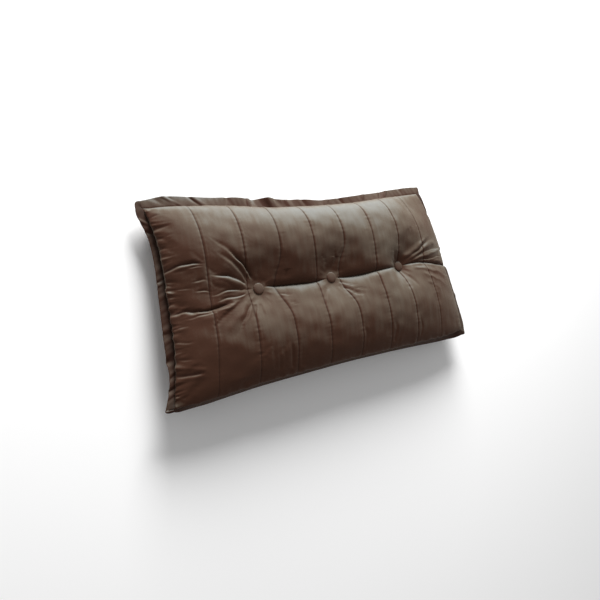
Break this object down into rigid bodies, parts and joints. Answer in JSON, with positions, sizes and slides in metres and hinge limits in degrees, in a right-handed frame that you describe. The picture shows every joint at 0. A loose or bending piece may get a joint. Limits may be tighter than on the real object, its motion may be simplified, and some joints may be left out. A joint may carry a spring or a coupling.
{
  "type": "velvet cushion",
  "caption": "Long filled backrest cushion with a panelled, creased and button-tufted face and a flat flange all round.",
  "frame": {"origin": "on the surface that the cushion lies on, under the middle of its bounding box", "axes": "+X along the cushion's length, +Y towards its top edge, +Z out of its tufted face"},
  "size_m": [1.033, 0.5131, 0.1441],
  "materials": {
    "face_velvet": "brown short-pile velvet, soft sheen where the face turns away",
    "flange_velvet": "the same brown velvet, folded double and stitched",
    "button_velvet": "the same brown velvet, drawn tight over a domed shell"
  },
  "bodies": {
    "root": {"cushion": "face_velvet", "flange_top": "flange_velvet", "flange_bottom": "flange_velvet", "flange_left": "flange_velvet", "flange_right": "flange_velvet", "button_left": "button_velvet", "button_middle": "button_velvet", "button_right": "button_velvet"}
  },
  "joints": []
}
